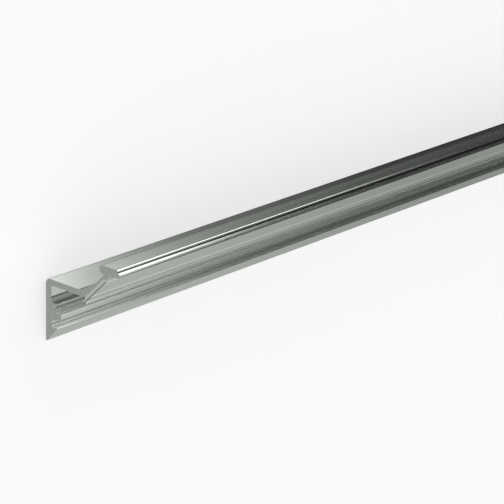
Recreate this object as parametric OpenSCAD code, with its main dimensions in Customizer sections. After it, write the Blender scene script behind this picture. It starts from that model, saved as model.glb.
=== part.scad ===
// Aluminium extrusion profile: one straight bar with the same section from end to end.
// Lengths are in millimetres.
// In the section, "out" is measured from the outer face of the back wall,
// and "up" is measured from the drip edge along that wall.
// The bar lies on the outer face of the back wall, centred over the origin, with its length on Y.

/* [Stock] */
// Length the bar is cut to
length = 1000; // [200:50:3000]

/* [Back wall] */
// Drip edge to the top face of the flange
wall_h = 20; // [19:0.1:22]
// Thickness of the back wall
wall_t = 2.4; // [2:0.1:2.6]
// Radius of the outer corner between wall and flange
corner_r = 1.8; // [0.6:0.1:1.8]

/* [Flange] */
// Thickness of the flange
flange_t = 1.9; // [1.5:0.1:2.2]
// Outer face of the wall to the start of the wedge, along the flange top
flange_w = 14.8; // [13:0.1:16]

/* [Blade] */
// Outer face of the wall to the outer face of the blade, level with the flange top
blade_reach = 20.05; // [19.5:0.05:20.5]
// Lean of the blade against the flange, in degrees
blade_angle = 45; // [42:1:48]
// Thickness of the blade
blade_t = 2.1; // [1.7:0.05:2.3]
// Height the wedge climbs on the blade above the flange top
wedge_h = 3.8; // [3.4:0.1:4.4]
// Height above the flange top at which the outer face steepens into the neck
neck_h = 5; // [4.5:0.1:5.5]
// Lean of the outer face at the neck, in degrees
neck_angle = 64; // [58:1:70]

/* [Barb] */
// Thickness of the barb below the flange
barb_t = 1; // [0.8:0.1:1.2]
// Underside of the flange to the centre of the barb's round tip
barb_drop = 1.45; // [1:0.05:1.7]

/* [Head] */
// Top face of the flange to the top face of the head
head_rise = 10; // [9.6:0.1:10.4]
// Outer face of the wall to the back end of the head
head_out = 22.4; // [22:0.1:22.8]
// Width of the head, back end to nose
head_w = 8.3; // [8:0.1:8.8]
// Thickness of the head
head_t = 2.4; // [2.2:0.1:2.7]
// Radius of the head's round back end
head_back_r = 1.35; // [1.2:0.05:1.4]
// Radius of the upper bead of the nose
upper_bead_r = 0.5; // [0.45:0.05:0.6]
// Radius of the lower bead of the nose
lower_bead_r = 0.65; // [0.55:0.05:0.7]
// Distance the lower bead stands out past the upper bead
bead_step = 0.85; // [0.7:0.05:1]

/* [Hook] */
// Radius of the round seat above the hook
seat_r = 1.25; // [1:0.05:1.35]
// Outer face of the wall to the centre of the seat
seat_out = 3.45; // [3.3:0.05:3.6]
// Drip edge to the centre of the seat
seat_up = 13.9; // [13.6:0.1:14.4]
// Outer face of the wall to the tip of the hook
hook_reach = 5.55; // [5.2:0.05:6]
// Radius of the hook's tip
hook_tip_r = 0.22; // [0.15:0.01:0.3]

/* [Rib] */
// Drip edge to the top of the rib, where the underside of the hook also starts
rib_up = 9.8; // [9.4:0.1:10.2]
// Outer face of the wall to the front of the rib
rib_reach = 6.35; // [5.8:0.05:6.8]
// Height of the rib's front face
rib_t = 1.65; // [1.4:0.05:1.9]
// Height of the rib at its root
rib_root_t = 2.7; // [2.2:0.05:3]

/* [Foot] */
// Drip edge to the flat top of the foot
foot_h = 4.75; // [4.4:0.05:5]
// Outer face of the wall to the front of the foot
foot_reach = 4.7; // [4.4:0.05:5.2]
// Width of the flat land at the drip edge
foot_land = 0.4; // [0.2:0.05:0.6]
// Radius of the bead along the front of the foot
foot_bead_r = 0.32; // [0.2:0.02:0.4]

/* [Corners] */
// Radius in the open inner corners
fillet_r = 0.4; // [0.2:0.05:0.5]
// Radius in the narrow inner corners
notch_r = 0.15; // [0.1:0.05:0.2]
// Radius on the front edges of the rib
edge_r = 0.4; // [0.1:0.05:0.5]

/* [Hidden] */
// Steps of a full circle
$fn = 96;
// Distance a corner's sliver runs past the corner
overrun = 0.1;
// Share of its radius at which a corner's round is cut, so that it crosses the faces cleanly
bite_share = 1.005;
// Share of a tip's radius at which a straight face runs into the round tip
tuck_share = 0.97;
section_h = wall_h + head_rise;
flange_under = wall_h - flange_t;
head_under = section_h - head_t;
nose = head_out + head_w;
// Unit vector square to the blade, towards the trough above the flange
inward = [-sin(blade_angle), cos(blade_angle)];
// Point on the outer face of the blade at a height above the drip edge
function blade_outer(up) = [blade_reach + (up - wall_h) / tan(blade_angle), up];
// Point on the inner face of the blade at a height above the drip edge
function blade_inner(up) = [blade_outer(up)[0] - blade_t / sin(blade_angle), up];
// Centre of the barb's round tip
barb_up = flange_under - barb_drop;
barb_tip = [blade_outer(barb_up)[0] - barb_t / (2 * sin(blade_angle)), barb_up];
// Points where the outer face steepens and where it meets the head
neck_low = blade_outer(wall_h + neck_h);
neck_top = neck_low + (head_under - neck_low[1]) * [1 / tan(neck_angle), 1];
// Points where the inner face of the barb leaves the flange and where it enters the round tip
barb_root = [blade_outer(flange_under)[0] - barb_t / sin(blade_angle), flange_under];
barb_low = barb_tip + tuck_share * barb_t / 2 * inward;
rib_low = [rib_reach, rib_up - rib_t];
rib_top = [rib_reach, rib_up];
hook_tip = [hook_reach - hook_tip_r, seat_up - seat_r + hook_tip_r];
// Run of the hook's underside from the notch to the tip, and the point where it enters the tip
hook_run = hook_tip - [wall_t, rib_up];
hook_low = hook_tip + tuck_share * hook_tip_r / norm(hook_run) * [hook_run[1], -hook_run[0]];
foot_bead = [foot_reach - foot_bead_r, foot_h];

// Back wall and flange with the round outer corner
module wall_and_flange() {
  difference() {
    union() {
      translate([0, foot_h]) square([wall_t, wall_h - foot_h]);
      polygon([[0, flange_under], blade_outer(flange_under), blade_outer(wall_h), [0, wall_h]]);
    }
    translate([0, wall_h - corner_r])
      difference() {
        square(corner_r);
        translate([corner_r, 0]) circle(corner_r);
      }
  }
}

// Leaning blade with the wedge that stiffens its root and the neck below the head
module blade() {
  polygon([
    [flange_w, flange_under],
    blade_outer(flange_under),
    neck_low,
    neck_top,
    blade_inner(head_under),
    blade_inner(wall_h + wedge_h),
    [flange_w, wall_h]
  ]);
}

// Barb that carries the outer face of the blade on below the flange
module barb() {
  half = barb_t / 2;
  translate(barb_tip) circle(half);
  polygon([
    barb_tip - half * inward,
    blade_outer(wall_h),
    blade_outer(wall_h) + barb_t * inward,
    barb_low
  ]);
}

// Flat head with a round back end and a nose of two beads, joined by a sloped face
module head() {
  back = [head_out + head_back_r, section_h - head_back_r];
  upper_bead = [nose - bead_step - upper_bead_r, section_h - upper_bead_r];
  lower_bead = [nose - lower_bead_r, head_under + lower_bead_r];
  translate(back) circle(head_back_r);
  translate([back[0], head_under]) square([upper_bead[0] - back[0], head_t]);
  translate(upper_bead) circle(upper_bead_r);
  translate(lower_bead) circle(lower_bead_r);
  // Sloped face, which aims at the centre of the upper bead and runs into the lower bead
  way = lower_bead - upper_bead;
  slope = atan2(way[1], way[0]) + asin(lower_bead_r / norm(way));
  polygon([
    upper_bead,
    [upper_bead[0], head_under],
    [lower_bead[0], head_under],
    lower_bead + tuck_share * lower_bead_r * [-sin(slope), cos(slope)]
  ]);
}

// Hook that rises from the rib's root to a round tip
module hook() {
  translate(hook_tip) circle(hook_tip_r);
  polygon([
    [0, rib_up],
    [wall_t, rib_up],
    hook_low,
    hook_tip + [0, hook_tip_r],
    [seat_out, seat_up - seat_r],
    [seat_out, seat_up],
    [0, seat_up]
  ]);
}

// Tapered rib below the hook
module rib() {
  polygon([
    [0, rib_up - rib_root_t],
    [wall_t, rib_up - rib_root_t],
    rib_low,
    rib_top,
    [0, rib_up]
  ]);
}

// Foot with a sloped drip face and a bead along its front
module foot() {
  polygon([[0, 0], [foot_land, 0], [foot_reach, foot_h], [0, foot_h]]);
  translate(foot_bead) circle(foot_bead_r);
}

// Sliver between a corner and the round of a given radius that eases it
module sliver(before, corner, after, r) {
  a = (before - corner) / norm(before - corner);
  b = (after - corner) / norm(after - corner);
  half = acos(a * b) / 2;
  middle = (a + b) / norm(a + b);
  centre = corner + r / sin(half) * middle;
  reach = r / tan(half);
  difference() {
    polygon([corner - overrun * middle, corner + reach * a, centre, corner + reach * b]);
    translate(centre) circle(bite_share * r);
  }
}

// Metal in the inner corners
module fillets() {
  wall_foot = [wall_t, foot_h];
  wall_rib = [wall_t, rib_up - rib_root_t];
  wall_hook = [wall_t, rib_up];
  wall_flange = [wall_t, flange_under];
  sliver(foot_bead, wall_foot, wall_rib, fillet_r);
  sliver(wall_foot, wall_rib, rib_low, fillet_r);
  sliver(rib_top, wall_hook, hook_low, notch_r);
  sliver(wall_hook, wall_flange, barb_root, fillet_r);
  sliver(wall_flange, barb_root, barb_low, notch_r);
  sliver(neck_low, neck_top, [nose, head_under], fillet_r);
}

// Metal taken off the outer edges
module eased_edges() {
  sliver([wall_t, rib_up], rib_top, rib_low, edge_r);
  sliver(rib_top, rib_low, [wall_t, rib_up - rib_root_t], edge_r);
}

// Whole section, out along the first axis and up along the second
module section() {
  difference() {
    union() {
      wall_and_flange();
      blade();
      barb();
      head();
      hook();
      rib();
      foot();
      fillets();
    }
    translate([seat_out, seat_up]) circle(seat_r);
    eased_edges();
  }
}

// The bar as it lies, outer face of the wall down
module profile_bar() {
  color([0.78, 0.79, 0.79])
    translate([section_h / 2, 0, 0])
      rotate([0, -90, 90])
        linear_extrude(height = length, center = true)
          section();
}

profile_bar();
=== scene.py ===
# %% [markdown]
# A bar of extruded aluminium
#
# The object is raw stock: one straight bar, pressed hot through a steel die, pulled straight, and
# sawn to length. Everything that it shows comes from that history. The section is the same from end
# to end, fine lines run along it where the metal slid past the die, and only the two sawn ends look
# different. So the lesson has three parts: sweep the section, give the drawn faces and the sawn ends
# each their own metal, and build a studio that bright metal can mirror.

# %% Load the measured bar
import math
from collections import namedtuple
import bpy
from mathutils import Matrix, Vector


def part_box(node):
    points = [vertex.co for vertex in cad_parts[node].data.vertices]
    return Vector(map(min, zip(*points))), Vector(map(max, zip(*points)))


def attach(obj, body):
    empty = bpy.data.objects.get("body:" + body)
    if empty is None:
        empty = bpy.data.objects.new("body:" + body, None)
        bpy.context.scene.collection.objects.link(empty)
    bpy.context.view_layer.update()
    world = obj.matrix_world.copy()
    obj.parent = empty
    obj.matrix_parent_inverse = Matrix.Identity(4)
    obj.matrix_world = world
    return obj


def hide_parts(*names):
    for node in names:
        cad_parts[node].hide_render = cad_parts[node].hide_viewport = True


# Metres in a millimetre
MM = 0.001


def shown(numbers, places=3):
    """Numbers rounded for printing."""
    return [round(number, places) for number in numbers]


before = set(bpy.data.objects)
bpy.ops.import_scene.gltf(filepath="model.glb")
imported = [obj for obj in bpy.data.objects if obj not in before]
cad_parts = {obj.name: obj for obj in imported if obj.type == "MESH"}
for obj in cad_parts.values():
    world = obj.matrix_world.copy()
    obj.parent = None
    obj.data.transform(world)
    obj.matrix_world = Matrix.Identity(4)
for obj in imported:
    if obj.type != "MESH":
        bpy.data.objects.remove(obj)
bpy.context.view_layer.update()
bar_low, bar_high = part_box("profile_bar")
bar_length = bar_high.y - bar_low.y
print("bar", shown((bar_high - bar_low) / MM, 2), "mm")

# %% [markdown]
# The section as a walk round its outline
#
# A die maker draws the section as straight faces and arcs, so this script does the same. Sizes are in
# millimetres. "out" is measured from the outer face of the back wall and "up" from the drip edge.
# The walk keeps the metal on its left. A face ends in a corner, which has a place and a radius to round
# it by, and a bead or a seat is an arc of short steps. The barb carries the outer face of the blade on
# below the flange, and its end is bent a little further down. Rounding every corner matters more on
# metal than on wood or stone: a mirror with no radius at its edge has no highlight, and looks like paper.

# %% Sizes of the section
WALL_H, WALL_T, CORNER_R = 20.0, 2.4, 1.8
FLANGE_T, FLANGE_W = 1.9, 14.8
BLADE_REACH, BLADE_T, WEDGE_H = 20.05, 2.1, 3.8
NECK_H, NECK_ANGLE = 5.0, math.radians(64)
BARB_T, BARB_DROP = 1.0, 1.45
# Distance that the barb's end is bent down from the line of the blade
BARB_SAG = 0.5
HEAD_RISE, HEAD_OUT, HEAD_W, HEAD_T, HEAD_BACK_R = 10.0, 22.4, 8.3, 2.4, 1.35
UPPER_BEAD_R, LOWER_BEAD_R, BEAD_STEP = 0.5, 0.65, 0.85
SEAT_R, SEAT_OUT, SEAT_UP = 1.25, 3.45, 13.9
HOOK_REACH, HOOK_TIP_R = 5.55, 0.22
RIB_UP, RIB_REACH, RIB_T, RIB_ROOT_T = 9.8, 6.35, 1.65, 2.7
FOOT_H, FOOT_REACH, FOOT_LAND, FOOT_BEAD_R = 4.75, 4.7, 0.4, 0.32
# Radii of the open inner corners, the narrow inner corners and the front edges of the rib
FILLET_R, NOTCH_R, EDGE_R = 0.4, 0.15, 0.4
# Radii of the shallow bends along the blade and of the bend in the barb
BEND_R, BARB_BEND_R = 5.0, 2.0
# Radius left on an edge that the die cuts sharp
SHARP_R = 0.1
FLANGE_UNDER = WALL_H - FLANGE_T
SECTION_H = WALL_H + HEAD_RISE
HEAD_UNDER = SECTION_H - HEAD_T
print("section", SECTION_H, "mm up and", round(HEAD_OUT + HEAD_W, 2), "mm out")

# %% Points that the sizes give
# The blade leans at 45 degrees, so a step across it is this much longer than its thickness
LEAN = math.sqrt(2)


def blade_outer(up):
    """Point on the outer face of the blade at a height above the drip edge."""
    return Vector((BLADE_REACH + up - WALL_H, up))


def blade_inner(up):
    """Point on the inner face of the blade at a height above the drip edge."""
    return blade_outer(up) - Vector((BLADE_T * LEAN, 0))


def line_meets_circle(start, end, centre, radius):
    """First point where the way from start to end enters a circle."""
    ahead = (end - start).normalized()
    nearest = (centre - start).dot(ahead)
    clear = (start + nearest * ahead - centre).length
    return start + (nearest - math.sqrt(radius**2 - clear**2)) * ahead


upper_bead = Vector((HEAD_OUT + HEAD_W - BEAD_STEP - UPPER_BEAD_R, SECTION_H - UPPER_BEAD_R))
lower_bead = Vector((HEAD_OUT + HEAD_W - LOWER_BEAD_R, HEAD_UNDER + LOWER_BEAD_R))
# The sloped face of the nose aims at the upper bead's centre and touches the lower bead
bead_way = lower_bead - upper_bead
nose_slope = math.atan2(bead_way.y, bead_way.x) + math.asin(LOWER_BEAD_R / bead_way.length)
slope_top = upper_bead + UPPER_BEAD_R * Vector((math.cos(nose_slope), math.sin(nose_slope)))
slope_low = lower_bead + LOWER_BEAD_R * Vector((-math.sin(nose_slope), math.cos(nose_slope)))
# The round back end of the head stops where it meets the head's flat underside
head_back = Vector((HEAD_OUT + HEAD_BACK_R, SECTION_H - HEAD_BACK_R))
pinch_rise = HEAD_BACK_R - HEAD_T
head_pinch = head_back + Vector((math.sqrt(HEAD_BACK_R**2 - pinch_rise**2), pinch_rise))
barb_up = FLANGE_UNDER - BARB_DROP
barb_tip = blade_outer(barb_up) - Vector((BARB_T * LEAN / 2, BARB_SAG))
barb_bend = blade_outer(barb_up + BARB_T / 4)
neck_low = blade_outer(WALL_H + NECK_H)
neck_top = neck_low + (HEAD_UNDER - neck_low.y) * Vector((1 / math.tan(NECK_ANGLE), 1))
hook_tip = Vector((HOOK_REACH - HOOK_TIP_R, SEAT_UP - SEAT_R + HOOK_TIP_R))
hook_top = hook_tip + Vector((0, HOOK_TIP_R))
seat = Vector((SEAT_OUT, SEAT_UP))
seat_front = line_meets_circle(hook_top, seat - Vector((0, SEAT_R)), seat, SEAT_R)
seat_lip = Vector((WALL_T, SEAT_UP + math.sqrt(SEAT_R**2 - (SEAT_OUT - WALL_T) ** 2)))
hook_run = hook_tip - Vector((WALL_T, RIB_UP))
hook_low = hook_tip + HOOK_TIP_R * Vector((hook_run.y, -hook_run.x)).normalized()
foot_bead = Vector((FOOT_REACH - FOOT_BEAD_R, FOOT_H))
foot_front = Vector((FOOT_REACH, FOOT_H))
foot_slope_top = line_meets_circle(Vector((FOOT_LAND, 0)), foot_front, foot_bead, FOOT_BEAD_R)
print("nose slope from", shown(slope_top), "to", shown(slope_low))
print("seat lip at", shown(seat_lip))

# %% Walk the outline
ARC_STEP = math.radians(6)
# Sides of a circle, in degrees counted from out towards up
UP_SIDE, IN_SIDE, DOWN_SIDE = 90, 180, 270
# Sides at which the barb's round tip starts and ends
TIP_START, TIP_END = 155, 335


def corner(place, radius=0.0):
    """One corner of the outline, with the radius that rounds it."""
    return [(Vector(place), radius)]


def arc(centre, radius, start, end):
    """Short steps round a centre from the start point to the end point, against the clock."""
    first = math.atan2(start.y - centre.y, start.x - centre.x)
    last = math.atan2(end.y - centre.y, end.x - centre.x)
    sweep = (last - first) % (2 * math.pi)
    steps = max(2, round(sweep / ARC_STEP))
    angles = [first + sweep * step / steps for step in range(steps + 1)]
    return [(centre + radius * Vector((math.cos(angle), math.sin(angle))), 0.0) for angle in angles]


def inward_arc(centre, radius, start, end):
    """The same with the clock, for a round hollow."""
    return arc(centre, radius, end, start)[::-1]


def side(centre, radius, degrees):
    """Point on a circle at an angle counted from out towards up."""
    angle = math.radians(degrees)
    return centre + radius * Vector((math.cos(angle), math.sin(angle)))


tip_start = side(barb_tip, BARB_T / 2, TIP_START)
tip_end = side(barb_tip, BARB_T / 2, TIP_END)
outline = (
    corner((0, 0), SHARP_R)
    + corner((FOOT_LAND, 0), SHARP_R)
    + arc(foot_bead, FOOT_BEAD_R, foot_slope_top, side(foot_bead, FOOT_BEAD_R, IN_SIDE))
    + corner((WALL_T, FOOT_H), FILLET_R)
    + corner((WALL_T, RIB_UP - RIB_ROOT_T), FILLET_R)
    + corner((RIB_REACH, RIB_UP - RIB_T), EDGE_R)
    + corner((RIB_REACH, RIB_UP), EDGE_R)
    + corner((WALL_T, RIB_UP), NOTCH_R)
    + arc(hook_tip, HOOK_TIP_R, hook_low, hook_top)
    + inward_arc(seat, SEAT_R, seat_front, seat_lip)
    + corner((WALL_T, FLANGE_UNDER), FILLET_R)
    + corner(blade_outer(FLANGE_UNDER) - Vector((BARB_T * LEAN, 0)), NOTCH_R)
    + arc(barb_tip, BARB_T / 2, tip_start, tip_end)
    + corner(barb_bend, BARB_BEND_R)
    + corner(neck_low, BEND_R)
    + corner(neck_top, FILLET_R)
    + arc(lower_bead, LOWER_BEAD_R, side(lower_bead, LOWER_BEAD_R, DOWN_SIDE), slope_low)
    + arc(upper_bead, UPPER_BEAD_R, slope_top, side(upper_bead, UPPER_BEAD_R, UP_SIDE))
    + arc(head_back, HEAD_BACK_R, side(head_back, HEAD_BACK_R, UP_SIDE), head_pinch)
    + corner(blade_inner(HEAD_UNDER))
    + corner(blade_inner(WALL_H + WEDGE_H), BEND_R)
    + corner((FLANGE_W, WALL_H), BEND_R)
    + corner((0, WALL_H), CORNER_R)
)
rounded_corners = sum(radius > 0 for _, radius in outline)
print("outline", len(outline), "points,", rounded_corners, "of them rounded corners")

# %% [markdown]
# One method for nodes, one class for sums
#
# Geometry, materials and the world are all node trees. To keep them readable, one method adds a node
# of any type, sets it up and joins its sockets, and one small class lets sockets be added and
# multiplied as numbers are.

# %% Node helpers
class Field:
    """An output socket that works in sums: each operator adds a Math node."""

    def __init__(self, tree, socket):
        self.tree = tree
        self.socket = socket

    def math(self, operation, first, second):
        return self.tree.add("ShaderNodeMath", {"operation": operation}, {0: first, 1: second})

    def __add__(self, other):
        return self.math("ADD", self, other)

    def __radd__(self, other):
        return self.math("ADD", other, self)

    def __sub__(self, other):
        return self.math("SUBTRACT", self, other)

    def __rsub__(self, other):
        return self.math("SUBTRACT", other, self)

    def __mul__(self, other):
        return self.math("MULTIPLY", self, other)

    def __rmul__(self, other):
        return self.math("MULTIPLY", other, self)

    def above(self, other):
        return self.math("GREATER_THAN", self, other)

    def size(self):
        return self.math("ABSOLUTE", self, 0.0)


class Tree:
    """A node tree with the one method that fills it."""

    def __init__(self, nodes_of):
        self.data = nodes_of
        self.data.nodes.clear()

    def add(self, kind, settings=None, sockets=None, out=0):
        """Adds a node, sets it up, joins or fills its input sockets, and gives one output as a Field."""
        node = self.data.nodes.new(kind)
        for name, value in (settings or {}).items():
            setattr(node, name, value)
        for name, value in (sockets or {}).items():
            if isinstance(value, Field):
                self.data.links.new(value.socket, node.inputs[name])
            else:
                node.inputs[name].default_value = value
        return Field(self, node.outputs[out]) if node.outputs else node

    def smooth(self, value, low, high, start=0.0, end=1.0):
        """A soft step: start below low, end above high."""
        settings = {"interpolation_type": "SMOOTHSTEP"}
        sockets = {"Value": value, "From Min": low, "From Max": high, "To Min": start, "To Max": end}
        return self.add("ShaderNodeMapRange", settings, sockets)

    def between(self, value, low, high, soft):
        """One from low to high and zero outside, with soft edges."""
        rise = self.smooth(value, low - soft, low + soft)
        return rise * self.smooth(value, high - soft, high + soft, 1.0, 0.0)

    def larger(self, first, second):
        """The larger of two numbers."""
        return first.math("MAXIMUM", first, second)

    def mix(self, factor, first, second):
        """A blend of two colours."""
        return self.add("ShaderNodeMix", {"data_type": "RGBA"}, {0: factor, 6: first, 7: second}, out=2)

    def toward(self, vector, side):
        """How far a vector points to a side, from -1 to 1."""
        sockets = {0: vector, 1: side}
        return self.add("ShaderNodeVectorMath", {"operation": "DOT_PRODUCT"}, sockets, out="Value")

    def parts(self, vector):
        """The three parts of a vector."""
        split = self.data.nodes.new("ShaderNodeSeparateXYZ")
        self.data.links.new(vector.socket, split.inputs[0])
        return [Field(self, socket) for socket in split.outputs]


print("helpers", Field.__name__, "and", Tree.__name__)

# %% [markdown]
# The streaks that the die leaves
#
# Extruded aluminium leaves the press bright but not polished. The die draws fine lines along the bar,
# so a noise that is stretched a few hundred times along Y drives three things: a little relief, a
# little change of roughness, and a little change of grey. Two more layers keep it from looking new out
# of a box: wide bands where the die ran hotter or colder, and small specks where the metal picked up on
# the die. A picture could carry all this, but noise on Object coordinates needs no unwrapping, has no
# seam, and stays on the metal when the view moves.

# %% Streaks along the bar
# Width across the bar in millimetres, stretch along it, and detail of the noise
DIE_LINES = (0.35, 400, 3.0)
BANDS = (2.5, 60, 2.0)
GRAIN = (0.25, 3, 2.0)


def streaks(tree, place, across, stretch, detail):
    """Noise of a given width across the bar, stretched along it."""
    sockets = {"Vector": place, "Scale": (1.0, 1.0 / stretch, 1.0)}
    pulled = tree.add("ShaderNodeMapping", {"vector_type": "POINT"}, sockets)
    sockets = {"Vector": pulled, "Scale": 1.0 / (across * MM), "Detail": detail}
    return tree.add("ShaderNodeTexNoise", {"noise_dimensions": "3D"}, sockets)


print("die lines", DIE_LINES[0], "mm wide, bands", BANDS[0], "mm, grain", GRAIN[0], "mm")

# %% [markdown]
# Painted shade in the narrow places
#
# The groove of the nose, the seat, the underside of the hook and the hollow below the rib are darkened
# in the colour: this is painted shade, deeper than the shade that the bounces between the faces give.
# It could be painted by hand on the mesh. A mask in "out" and "up" is simpler, because the section is
# the same from end to end and its sizes already have names.

# %% Painted shade in the hollows
# Colour of the painted shade in the narrow places
PAINTED_SHADE_DARK = (0.1, 0.105, 0.1, 1.0)
# Share of painted shade in the seat, under the hook and below the rib
SEAT_SHADE_SHARE, HOOK_SHADE_SHARE, RIB_SHADE_SHARE = 0.45, 0.35, 0.4
# Distances over which it ends, from the groove of the nose and from the centre of the seat
NOSE_FADE = (0.18, 0.32)
SEAT_FADE = (SEAT_R + 0.03, SEAT_R + 0.08)
# Heights that it covers under the hook and below the rib
UNDER_HOOK_UP = (RIB_UP + 0.15, SEAT_UP - SEAT_R - 0.1)
BELOW_RIB_UP = (FOOT_H, RIB_UP - RIB_ROOT_T)
# Distances out that it covers under the hook and below the rib
UNDER_HOOK_OUT = (WALL_T, HOOK_REACH)
BELOW_RIB_OUT = (WALL_T, FOOT_REACH - 2 * FOOT_BEAD_R)
# Soft edge of a mask, and of a mask that ends close to another face
SOFT, FINE_SOFT = 0.1, 0.05


def place_in_section(tree, place):
    """Out and up of a place on the bar, in millimetres."""
    x, _, z = tree.parts(place)
    return z * (1 / MM), SECTION_H / 2 - x * (1 / MM)


def distance_from(tree, out, up, spot):
    """Distance of a place in the section from a spot, in millimetres."""
    across, above = out - spot.x, up - spot.y
    return tree.add("ShaderNodeMath", {"operation": "SQRT"}, {0: across * across + above * above})


def painted_shade(tree, out, up):
    """Share of painted shade, laid into the narrow places where the faces shade each other."""
    in_nose = 1 - tree.smooth(distance_from(tree, out, up, slope_top), *NOSE_FADE)
    in_seat = 1 - tree.smooth(distance_from(tree, out, up, seat), *SEAT_FADE)
    under_hook = tree.between(out, *UNDER_HOOK_OUT, SOFT) * tree.between(up, *UNDER_HOOK_UP, FINE_SOFT)
    below_rib = tree.between(out, *BELOW_RIB_OUT, SOFT) * tree.between(up, *BELOW_RIB_UP, SOFT)
    hollows = tree.larger(HOOK_SHADE_SHARE * under_hook, RIB_SHADE_SHARE * below_rib)
    return tree.larger(in_nose, tree.larger(SEAT_SHADE_SHARE * in_seat, hollows))


print("residue from", shown(BELOW_RIB_UP, 2), "below the rib to", shown(UNDER_HOOK_UP, 2), "under the hook")

# %% [markdown]
# The metal of the drawn faces
#
# All drawn faces are one metal, so they share one material, and masks make the small differences. The
# top of the head is a little rougher than the rest. The channel between foot and flange is duller, with
# a slight haze, and the flat top of the rib is the haziest place. Haze is made by lowering Metallic,
# which lets a part of the light scatter as it does on a powdery film. On the outer face of the blade a
# faint line runs where the flange joins it from behind: the metal is thicker there, and leaves the die
# a little differently. A low ridge in the bump is enough for that line.

# %% Faces that differ
# Heights over which the top of the head starts
HEAD_TOP_UP = (SECTION_H - 0.4, SECTION_H - 0.1)
CHANNEL_OUT, CHANNEL_SOFT = (1.0, 8.0), 0.5
CHANNEL_UP = (FOOT_H + 0.35, FLANGE_UNDER + 0.1)
# Flat top of the rib, which ends before the round of its front edge
RIB_TOP_OUT = (WALL_T, RIB_REACH - EDGE_R - 0.15)
RIB_TOP_UP, RIB_TOP_SOFT = (RIB_UP - 0.06, RIB_UP + 0.06), 0.02
# Line on the outer face of the blade where the flange shows through: place, width and height
SHOW_PLACE, SHOW_WIDTH, SHOW_HEIGHT = blade_outer(18.35), 1.8, 0.24
# Range of out less up that belongs to the outer face of the blade
BLADE_FACE = (-0.4, 0.4)


def faces_that_differ(tree, out, up):
    """Masks of the head's top, the channel between foot and flange, and the flat top of the rib."""
    head_top = tree.between(out, HEAD_OUT, upper_bead.x, SOFT) * tree.smooth(up, *HEAD_TOP_UP)
    channel = tree.between(out, *CHANNEL_OUT, CHANNEL_SOFT) * tree.between(up, *CHANNEL_UP, SOFT)
    rib_top = tree.between(out, *RIB_TOP_OUT, SOFT) * tree.between(up, *RIB_TOP_UP, RIB_TOP_SOFT)
    return head_top, channel, rib_top


def show_through(tree, out, up):
    """Low ridge along the outer face of the blade."""
    up_face = (out + up - (SHOW_PLACE.x + SHOW_PLACE.y)) * (1 / LEAN)
    on_blade = tree.between(out - up, *BLADE_FACE, SOFT)
    return (1 - tree.smooth(up_face.size(), 0.0, SHOW_WIDTH)) * on_blade


print("flange shows through at", shown(SHOW_PLACE, 2))

# %% Drawn aluminium
DRAWN_LIGHT = (0.93, 0.945, 0.925, 1.0)
DRAWN_DARK = (0.86, 0.88, 0.855, 1.0)
# Range of the noise that turns grain into specks, and range that turns streaks into tone
SPECK_RANGE, TONE_RANGE = (0.66, 0.74), (0.3, 0.7)
# Weight of die lines, bands and specks in the tone
DIE_TONE, BAND_TONE, SPECK_TONE = 0.55, 0.45, 0.5
# Roughness of the plain metal, and what each layer and face adds to it
PLAIN_ROUGH, BAND_ROUGH, GRAIN_ROUGH, SPECK_ROUGH = 0.05, 0.06, 0.04, 0.06
HEAD_ROUGH, CHANNEL_ROUGH, RIB_ROUGH = 0.1, 0.08, 0.15
# Share of the metal's shine that haze takes in the channel and on the rib
CHANNEL_HAZE, RIB_HAZE = 0.06, 0.8
# Height of die lines and grain in millimetres
DIE_HEIGHT, GRAIN_HEIGHT = 0.006, 0.0008


def make_drawn_aluminium():
    """Mill finish of the faces that slid past the die."""
    material = bpy.data.materials.new("drawn_aluminium")
    material.use_nodes = True
    tree = Tree(material.node_tree)
    place = tree.add("ShaderNodeTexCoord", out="Object")
    out, up = place_in_section(tree, place)
    die_lines = streaks(tree, place, *DIE_LINES)
    bands = streaks(tree, place, *BANDS)
    grain = streaks(tree, place, *GRAIN)
    specks = tree.smooth(grain, *SPECK_RANGE)
    tone = tree.smooth(DIE_TONE * die_lines + BAND_TONE * bands, *TONE_RANGE) * (1 - SPECK_TONE * specks)
    clean = tree.mix(tone, DRAWN_DARK, DRAWN_LIGHT)
    # Painted shade darkens the groove of the nose, the seat and the hollows
    colour = tree.mix(painted_shade(tree, out, up), clean, PAINTED_SHADE_DARK)
    head_top, channel, rib_top = faces_that_differ(tree, out, up)
    rough = PLAIN_ROUGH + BAND_ROUGH * bands + GRAIN_ROUGH * grain + SPECK_ROUGH * specks
    rough = rough + HEAD_ROUGH * head_top + CHANNEL_ROUGH * channel + RIB_ROUGH * rib_top
    shine = 1 - CHANNEL_HAZE * channel - RIB_HAZE * rib_top
    relief = DIE_HEIGHT * die_lines + GRAIN_HEIGHT * grain + SHOW_HEIGHT * show_through(tree, out, up)
    normal = tree.add("ShaderNodeBump", None, {"Strength": 1.0, "Distance": 1.0, "Height": MM * relief})
    sockets = {"Base Color": colour, "Roughness": rough, "Metallic": shine, "Normal": normal}
    metal = tree.add("ShaderNodeBsdfPrincipled", None, sockets)
    tree.add("ShaderNodeOutputMaterial", None, {"Surface": metal})
    return material


drawn_aluminium = make_drawn_aluminium()
print(drawn_aluminium.name, len(drawn_aluminium.node_tree.nodes), "nodes")

# %% [markdown]
# The finish of the sawn ends
#
# A circular saw cut the bar. Its teeth leave shallow arcs across the end, all with the radius of the
# saw, and the cut metal is duller than the drawn faces. A ring pattern whose centre lies a saw's radius
# away gives those arcs, and a noise breaks them up so that no two teeth cut alike. On the end of the
# leaning blade a thin dark line of painted shade runs along the outer edge, where the saw pushed up a
# burr, and the strip beside it is a painted highlight. Both are masks on the distance from that edge.

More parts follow.
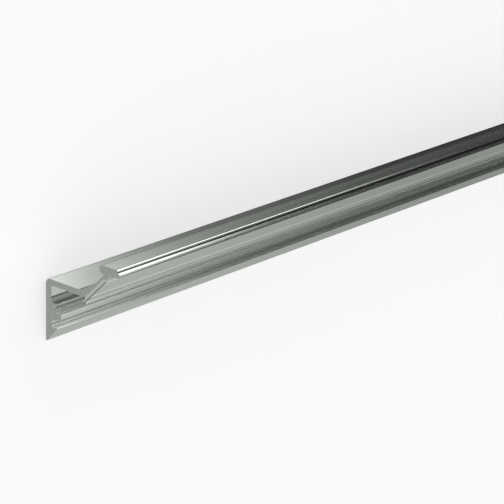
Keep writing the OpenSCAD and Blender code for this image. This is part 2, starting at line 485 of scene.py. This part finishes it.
# %% Painted shade and highlight on the sawn end of the blade
# Colours of the painted shade line and the painted highlight strip on the blade's sawn end
EDGE_SHADE_DARK = (0.12, 0.125, 0.12, 1.0)
PAINTED_HIGHLIGHT_BRIGHT = (0.75, 0.76, 0.745, 1.0)
EDGE_SHADE_SHARE, PAINTED_HIGHLIGHT_SHARE = 0.65, 0.55
# Widths of the painted shade line and highlight strip, in from the blade's outer face, and their soft edges
EDGE_SHADE_W, PAINTED_HIGHLIGHT_W = 0.35, 0.9
EDGE_SHADE_SOFT, PAINTED_HIGHLIGHT_SOFT = 0.1, 0.15
# Heights that both cover, from the tip of the barb to a little above the start of the neck
EDGE_PAINT_UP, EDGE_PAINT_END_SOFT = (barb_tip.y - BARB_T / 2, neck_low.y + 0.8), 0.3


def edge_shade_and_highlight(tree, out, up):
    """Masks of the painted shade line and the painted highlight strip on the sawn end of the blade."""
    depth = (up - out - (WALL_H - BLADE_REACH)) * (1 / LEAN)
    on_blade = tree.between(up, *EDGE_PAINT_UP, EDGE_PAINT_END_SOFT)
    edge_shade = on_blade * (1 - tree.smooth(depth, EDGE_SHADE_W - EDGE_SHADE_SOFT, EDGE_SHADE_W + EDGE_SHADE_SOFT))
    painted_highlight = on_blade * tree.between(depth, EDGE_SHADE_W, EDGE_SHADE_W + PAINTED_HIGHLIGHT_W, PAINTED_HIGHLIGHT_SOFT)
    return edge_shade, painted_highlight


print("burr from", shown(EDGE_PAINT_UP, 2), "mm up")

# %% Sawn aluminium
SAWN_LIGHT = (0.5, 0.51, 0.495, 1.0)
SAWN_DARK = (0.33, 0.34, 0.33, 1.0)
SAW_RADIUS = 180 * MM
SAW_HUB = SAW_RADIUS * Vector((0.6, 0.0, -0.8))
TOOTH_PITCH = 0.45 * MM
# Sizes of the noise that bends the arcs and of the grit between them, and the detail of both
WOBBLE_SIZE, GRIT_SIZE, SAWN_DETAIL = 2 * MM, 0.2 * MM, 2.0
# Teeth by which the noise shifts an arc
WOBBLE_TEETH = 1.5
# Weight of arcs and grit in the tone, and the range that it spans
ARC_TONE, GRIT_TONE, SAWN_RANGE = 0.6, 0.4, (0.3, 0.7)
# Roughness of the cut, what grit adds to it, and grit's height beside an arc's
SAWN_ROUGH, GRIT_ROUGH, GRIT_RISE = 0.42, 0.15, 0.4
SAW_MARK_STRENGTH, SAW_MARK_DEPTH = 0.6, 0.03 * MM


def make_sawn_aluminium():
    """Dull metal with the arcs that the saw's teeth left."""
    material = bpy.data.materials.new("sawn_aluminium")
    material.use_nodes = True
    tree = Tree(material.node_tree)
    place = tree.add("ShaderNodeTexCoord", out="Object")
    sockets = {"Vector": place, "Location": -SAW_HUB}
    from_hub = tree.add("ShaderNodeMapping", {"vector_type": "POINT"}, sockets)
    x, _, z = tree.parts(from_hub)
    hub_distance = tree.add("ShaderNodeMath", {"operation": "SQRT"}, {0: x * x + z * z})
    sockets = {"Vector": place, "Scale": 1.0 / WOBBLE_SIZE, "Detail": SAWN_DETAIL}
    wobble = tree.add("ShaderNodeTexNoise", None, sockets)
    teeth = hub_distance * (1.0 / TOOTH_PITCH) + WOBBLE_TEETH * wobble
    sockets = {"W": teeth, "Scale": 1.0, "Detail": SAWN_DETAIL}
    arcs = tree.add("ShaderNodeTexNoise", {"noise_dimensions": "1D"}, sockets)
    sockets = {"Vector": place, "Scale": 1.0 / GRIT_SIZE, "Detail": SAWN_DETAIL}
    grit = tree.add("ShaderNodeTexNoise", None, sockets)
    tone = tree.smooth(ARC_TONE * arcs + GRIT_TONE * grit, *SAWN_RANGE)
    edge_shade, painted_highlight = edge_shade_and_highlight(tree, *place_in_section(tree, place))
    # Painted highlight in the strip beside the blade's outer edge, then painted shade along that edge
    colour = tree.mix(PAINTED_HIGHLIGHT_SHARE * painted_highlight, tree.mix(tone, SAWN_DARK, SAWN_LIGHT), PAINTED_HIGHLIGHT_BRIGHT)
    colour = tree.mix(EDGE_SHADE_SHARE * edge_shade, colour, EDGE_SHADE_DARK)
    rough = SAWN_ROUGH + GRIT_ROUGH * grit
    height = arcs + GRIT_RISE * grit
    sockets = {"Strength": SAW_MARK_STRENGTH, "Distance": SAW_MARK_DEPTH, "Height": height}
    normal = tree.add("ShaderNodeBump", None, sockets)
    sockets = {"Base Color": colour, "Roughness": rough, "Metallic": 1.0, "Normal": normal}
    metal = tree.add("ShaderNodeBsdfPrincipled", None, sockets)
    tree.add("ShaderNodeOutputMaterial", None, {"Surface": metal})
    return material


sawn_aluminium = make_sawn_aluminium()
print(sawn_aluminium.name, len(sawn_aluminium.node_tree.nodes), "nodes")

# %% [markdown]
# The bar as a swept section
#
# An extrusion is the plainest rule a shape can follow: one section, one straight path. It could be a
# curve object with a bevel profile, or faces made in a loop, but a Geometry Nodes tree says it most
# directly. The outline goes in as a loop of edges whose corners carry their radius. Fillet Curve rounds
# them, Curve to Mesh pulls the section along the path and closes both ends, and the ends then get the
# sawn metal. The tree's inputs are the length, the steps in a rounded corner and the cuts along the bar.

# %% Outline as a loop of edges
ROUNDING = "rounding"


def make_outline_mesh():
    """Loop of edges in the plane of the section, in metres, with each corner's radius as an attribute."""
    mesh = bpy.data.meshes.new("profile_bar_outline")
    points = [(MM * (SECTION_H / 2 - place.y), -MM * place.x, 0.0) for place, _ in outline]
    edges = [(index, (index + 1) % len(points)) for index in range(len(points))]
    mesh.from_pydata(points, edges, [])
    attribute = mesh.attributes.new(ROUNDING, "FLOAT", "POINT")
    attribute.data.foreach_set("value", [MM * radius for _, radius in outline])
    return mesh


bar = bpy.data.objects.new("extruded_bar", make_outline_mesh())
bpy.context.scene.collection.objects.link(bar)
print("outline loop of", len(bar.data.edges), "edges")

# %% Tree that sweeps the section
# Bend between two faces past which their edge is shaded sharp
SHARP_BEND = math.radians(20)
# Part of a face's normal along the bar past which the face belongs to a sawn end
END_FACING = 0.5


def make_sweep_tree():
    """Rounds the outline's corners, sweeps it along Y and closes the ends."""
    group = bpy.data.node_groups.new("Sweep the section", "GeometryNodeTree")
    tree = Tree(group)
    group.interface.new_socket("Geometry", in_out="INPUT", socket_type="NodeSocketGeometry")
    group.interface.new_socket("Length", in_out="INPUT", socket_type="NodeSocketFloat")
    group.interface.new_socket("Corner steps", in_out="INPUT", socket_type="NodeSocketInt")
    group.interface.new_socket("Cuts along", in_out="INPUT", socket_type="NodeSocketInt")
    group.interface.new_socket("Geometry", in_out="OUTPUT", socket_type="NodeSocketGeometry")
    entry = group.nodes.new("NodeGroupInput")
    loop, length, steps, cuts = [Field(tree, socket) for socket in entry.outputs[:4]]
    curve = tree.add("GeometryNodeMeshToCurve", None, {"Mesh": loop})
    radius = tree.add("GeometryNodeInputNamedAttribute", {"data_type": "FLOAT"}, {"Name": ROUNDING})
    sockets = {"Curve": curve, "Count": steps, "Radius": radius, "Limit Radius": True}
    rounded = tree.add("GeometryNodeFilletCurve", {"mode": "POLY"}, sockets)
    half = length * 0.5
    near = tree.add("ShaderNodeCombineXYZ", None, {"Y": half * -1.0})
    far = tree.add("ShaderNodeCombineXYZ", None, {"Y": half})
    line = tree.add("GeometryNodeCurvePrimitiveLine", {"mode": "POINTS"}, {"Start": near, "End": far})
    path = tree.add("GeometryNodeResampleCurve", {"mode": "COUNT"}, {"Curve": line, "Count": cuts})
    sockets = {"Curve": path, "Profile Curve": rounded, "Fill Caps": True}
    swept = tree.add("GeometryNodeCurveToMesh", None, sockets)
    bend = tree.add("GeometryNodeInputMeshEdgeAngle")
    sockets = {"Mesh": swept, "Edge Sharpness": bend.above(SHARP_BEND), "Face Sharpness": False}
    shaded = tree.add("GeometryNodeSetMeshNormal", {"mode": "SHARPNESS"}, sockets)
    realized = tree.add("GeometryNodeRealizeInstances", None, {"Geometry": shaded})
    drawn = tree.add("GeometryNodeSetMaterial", None, {"Geometry": realized, "Material": drawn_aluminium})
    facing = tree.add("GeometryNodeInputNormal")
    _, along, _ = tree.parts(facing)
    at_end = along.size().above(END_FACING)
    sockets = {"Geometry": drawn, "Selection": at_end, "Material": sawn_aluminium}
    sawn = tree.add("GeometryNodeSetMaterial", None, sockets)
    tree.add("NodeGroupOutput", None, {0: sawn})
    return group


sweep_tree = make_sweep_tree()
print(sweep_tree.name, len(sweep_tree.nodes), "nodes")

# %% Sweep the bar
CORNER_STEPS = 10
CUTS_ALONG = 41


def set_input(modifier, name, value):
    """Sets a modifier's input by its socket's identifier."""
    for item in modifier.node_group.interface.items_tree:
        if item.in_out == "INPUT" and item.name == name:
            modifier[item.identifier] = value


sweep = bar.modifiers.new("Sweep", "NODES")
sweep.node_group = sweep_tree
set_input(sweep, "Length", bar_length)
set_input(sweep, "Corner steps", CORNER_STEPS)
set_input(sweep, "Cuts along", CUTS_ALONG)
weigh = bar.modifiers.new("Flat faces stay flat", "WEIGHTED_NORMAL")
weigh.keep_sharp = True
evaluated = bar.evaluated_get(bpy.context.evaluated_depsgraph_get())
swept_mesh = bpy.data.meshes.new_from_object(evaluated)
bar.modifiers.clear()
bar.data = swept_mesh
low = [min(vertex.co[axis] for vertex in swept_mesh.vertices) for axis in range(3)]
high = [max(vertex.co[axis] for vertex in swept_mesh.vertices) for axis in range(3)]
print("swept", len(swept_mesh.polygons), "faces, box", shown(low), "to", shown(high))
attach(bar, "root")
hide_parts("profile_bar")

# %% [markdown]
# The table that the bar lies on
#
# The bar rests on the outer face of its back wall, on a plain pale table that fills the picture. The
# table is left out of mirror rays: a white floor would wash out every lower face, and what the metal
# should show is the studio, which the next cells draw. Part of the table's paleness is a lift that only
# camera rays see. More light would make it pale too, but would also fall on the bar. With the lift the
# bar keeps its tones and the table keeps the bar's soft shadow.

# %% Table
TABLE_RADIUS = 20.0
TABLE_SIDES = 96
TABLE_DROP = 0.05 * MM
TABLE_COLOUR = (0.73, 0.7, 0.739, 1.0)
TABLE_LIFT = 0.37


def make_table():
    """Wide round table just under the bar."""
    under_bar = (0, 0, -TABLE_DROP)
    bpy.ops.mesh.primitive_circle_add(
        vertices=TABLE_SIDES, radius=TABLE_RADIUS, fill_type="NGON", location=under_bar
    )
    table = bpy.context.object
    table.name = "table"
    table.visible_glossy = False
    material = bpy.data.materials.new("pale_table")
    material.use_nodes = True
    tree = Tree(material.node_tree)
    matt = tree.add("ShaderNodeBsdfDiffuse", None, {"Color": TABLE_COLOUR})
    camera_ray = tree.add("ShaderNodeLightPath", out="Is Camera Ray")
    lift = tree.add("ShaderNodeEmission", None, {"Strength": TABLE_LIFT * camera_ray})
    surface = tree.add("ShaderNodeAddShader", None, {0: matt, 1: lift})
    tree.add("ShaderNodeOutputMaterial", None, {"Surface": surface})
    table.data.materials.append(material)
    return table


table = make_table()
print(table.name, "with a radius of", TABLE_RADIUS, "m")

# %% [markdown]
# The studio that the metal mirrors
#
# Bare metal has hardly any colour of its own: it looks like what stands around it. Lamps would put a
# few hot spots on it, so the studio is drawn as a world, in directions. Two numbers say where a
# direction points. "along" runs from -1 at the near end of the bar to 1 at its far end. A long flat face
# leaves this part of a mirrored direction as it is, so "along" picks the place on the bar. "turn" is the
# angle round the bar in degrees, 0 straight up and 90 to the side of the drip edge, so it picks the face.
#
# The room is pale, and dimmer overhead. Its far end darkens in steps, which is why the flat tops fall
# from light to dark along the bar. A dark gap on the side of the drip edge deepens the far part. The
# directions under the table are dark as well, and make the thin dark line on the round corner. A dim
# wall on the side of the drip edge gives the blade and the foot their even grey. The low side of the
# head is dimmed, because views from behind mirror it, and would burn out.

# %% Room
# Level of the room, what it loses overhead, and what it loses there at the near end
ROOM_LEVEL, OVERHEAD_LOSS, NEAR_LOSS = 1.05, 0.2, 0.25
# Where the upper half starts, counted up, and where the part ahead starts and the near part ends,
# counted along
ABOVE_SPAN, AHEAD_SPAN, NEAR_SPAN = (-0.2, 0.2), (0.2, 0.5), (-0.3, 0.2)
# Steps in which the far end darkens: share of the light that is lost, and where along
DARK_STEPS = ((0.2, 0.62, 0.65), (0.48, 0.645, 0.672), (0.19, 0.668, 0.7), (0.09, 0.7, 0.76))
# Turns that lie over the table with their soft edge, and the share of light lost under it
OVER_TABLE, UNDER_LOSS = (-164, 158, 5), 0.75
# Light low ahead, which brightens the tops near the sawn end, and where along it ends
FRONT_LIGHT, FRONT_SPAN = 0.4, (0.61, 0.655)
# Turns of the wall with its soft edge, and the turns over which it steps from one level to the next
WALL_TURNS, WALL_STEP, WALL_LEVELS = (86, 150, 10), (98, 114), (0.6, 0.45)
# Where along the wall dims, and the share of its light that is left
WALL_SPAN, WALL_LEFT = (0.655, 0.78), 0.64
# Turns of the low side of the head with their soft edge, the same at the near end, and the loss there
LOW_SIDE, NEAR_LOW_SIDE, LOW_SIDE_LOSS = (-136, -75, 8), (-168, -75, 12), 0.5
# A patch of the studio: its level, its turns with their soft edge, and its shares along, before the
# start and after the end of a soft step
Patch = namedtuple("Patch", "level low high soft start end before after")
GAP = Patch(0.8, low=38, high=66, soft=5, start=0.63, end=0.69, before=0.0, after=1.0)


def draw_patch(tree, along, turn, patch):
    """Strength of a patch in every direction."""
    share = tree.smooth(along, patch.start, patch.end, patch.before, patch.after)
    return patch.level * tree.between(turn, patch.low, patch.high, patch.soft) * share


def draw_room(tree, along, turn, up):
    """Pale room with a dark far end and a dim wall on the side of the drip edge."""
    above = tree.smooth(up, *ABOVE_SPAN)
    ahead = tree.smooth(along, *AHEAD_SPAN)
    near = 1 - tree.smooth(along, *NEAR_SPAN)
    dark_end = sum(share * tree.smooth(along, start, end) for share, start, end in DARK_STEPS)
    under = UNDER_LOSS * ahead * (1 - tree.between(turn, *OVER_TABLE))
    room = ROOM_LEVEL - OVERHEAD_LOSS * above - NEAR_LOSS * near * above
    room = room * (1 - dark_end) * (1 - draw_patch(tree, along, turn, GAP)) * (1 - under)
    room = room + FRONT_LIGHT * ahead * (1 - above) * (1 - tree.smooth(along, *FRONT_SPAN))
    wall = tree.smooth(turn, *WALL_STEP, *WALL_LEVELS) * tree.smooth(along, *WALL_SPAN, 1.0, WALL_LEFT)
    room = room + tree.between(turn, *WALL_TURNS) * (wall - room)
    low_side = tree.larger(tree.between(turn, *LOW_SIDE), near * tree.between(turn, *NEAR_LOW_SIDE))
    return room * (1 - LOW_SIDE_LOSS * low_side)


print("room of level", ROOM_LEVEL, "that darkens in", len(DARK_STEPS), "steps")

# %% [markdown]
# The lights of the studio
#
# Two soft boxes stand on the side of the head, a wide near one and a stronger far one. The round beads
# of the nose gather them into two white lines. Two strips above the boxes light the rib and the
# channel, which they reach only after several bounces. A weak, wide key light from the near end falls
# on the table and the sawn end. A pale wall past the far end of the bar is mirrored only in views from
# an end, where the bar would be black without it.

# %% World
LIGHT_COLOUR = (0.955, 1.0, 0.945, 1.0)
NEAR_BOX = Patch(1.5, low=-115, high=-62, soft=4, start=0.682, end=0.706, before=1.0, after=0.0)
FAR_BOX = Patch(2.5, low=-118, high=-90, soft=4, start=0.72, end=0.77, before=1.0, after=0.0)
NEAR_STRIP = Patch(2.0, low=-44, high=-32, soft=3, start=0.66, end=0.678, before=1.0, after=0.0)
FAR_STRIP = Patch(0.6, low=-24, high=-6, soft=4, start=0.66, end=0.715, before=1.0, after=0.1)
# Direction of the key light, its level, and the range of nearness to that direction that it spans
KEY_SIDE, KEY_LEVEL, KEY_SPAN = Vector((0.0, -0.7, 0.7)).normalized(), 0.22, (0.1, 0.7)
END_WALL_LEVEL, END_WALL_SPAN = 0.45, (0.82, 0.9)


def draw_lights(tree, direction, along, turn):
    """Soft boxes and strips ahead, the key light, and the wall past the far end."""
    near_box, far_box, near_strip, far_strip = [
        draw_patch(tree, along, turn, patch) for patch in (NEAR_BOX, FAR_BOX, NEAR_STRIP, FAR_STRIP)
    ]
    soft_light = near_strip + far_strip + tree.larger(near_box, far_box)
    key_light = KEY_LEVEL * tree.smooth(tree.toward(direction, KEY_SIDE), *KEY_SPAN)
    end_wall = END_WALL_LEVEL * tree.smooth(along, *END_WALL_SPAN)
    return tree.smooth(along, *AHEAD_SPAN) * soft_light + key_light + end_wall


def make_world():
    """Studio of a room and its lights, drawn in directions."""
    world = bpy.data.worlds.new("studio")
    world.use_nodes = True
    bpy.context.scene.world = world
    tree = Tree(world.node_tree)
    direction = tree.add("ShaderNodeTexCoord", out="Generated")
    aside, along, up = tree.parts(direction)
    turn = tree.add("ShaderNodeMath", {"operation": "ARCTAN2"}, {0: aside, 1: up}) * math.degrees(1)
    glow = draw_room(tree, along, turn, up) + draw_lights(tree, direction, along, turn)
    lamp = tree.add("ShaderNodeBackground", None, {"Color": LIGHT_COLOUR, "Strength": glow})
    tree.add("ShaderNodeOutputWorld", None, {"Surface": lamp})
    return world


studio = make_world()
print(studio.name, len(studio.node_tree.nodes), "nodes")

# %% [markdown]
# The camera
#
# The picture looks along the bar from its near end with a long lens, so the edges stay almost parallel.
# The bar lies on its back wall, and the picture shows that wall upright: the camera is rolled so that
# the wall's height points up in the frame.

# %% Camera
CAMERA_PITCH = math.radians(19.882)
CAMERA_TURN = math.radians(41.094)
CAMERA_ROLL = math.radians(1.487)
# Place of the lens from the drip edge of the near end: out, along the bar and up the wall, in millimetres
CAMERA_OUT, CAMERA_ALONG, CAMERA_UP = 498.31, -478.68, 278.60
SENSOR_WIDTH = 36.0
PICTURE_WIDTH = 504
FOCAL_PIXELS = 2479.67


def make_camera():
    """Long lens at the near end of the bar."""
    wall_up = Vector((-1, 0, 0))
    level_ahead = Vector((0, math.cos(CAMERA_TURN), -math.sin(CAMERA_TURN)))
    level_right = Vector((0, math.sin(CAMERA_TURN), math.cos(CAMERA_TURN)))
    ahead = math.cos(CAMERA_PITCH) * level_ahead - math.sin(CAMERA_PITCH) * wall_up
    level_up = math.sin(CAMERA_PITCH) * level_ahead + math.cos(CAMERA_PITCH) * wall_up
    right = math.cos(CAMERA_ROLL) * level_right + math.sin(CAMERA_ROLL) * level_up
    up = math.cos(CAMERA_ROLL) * level_up - math.sin(CAMERA_ROLL) * level_right
    data = bpy.data.cameras.new("camera")
    data.sensor_width = SENSOR_WIDTH
    data.lens = FOCAL_PIXELS * SENSOR_WIDTH / PICTURE_WIDTH
    camera = bpy.data.objects.new("camera", data)
    turn = Matrix((right, up, -ahead)).transposed().to_4x4()
    near_drip_edge = Vector((bar_high.x, bar_low.y, bar_low.z))
    offset = MM * Vector((-CAMERA_UP, CAMERA_ALONG, CAMERA_OUT))
    camera.matrix_world = Matrix.Translation(near_drip_edge + offset) @ turn
    bpy.context.scene.collection.objects.link(camera)
    bpy.context.scene.camera = camera
    return camera


camera = make_camera()
bpy.context.scene.view_settings.view_transform = "Standard"
print("lens", round(camera.data.lens, 1), "mm at", shown(camera.location))
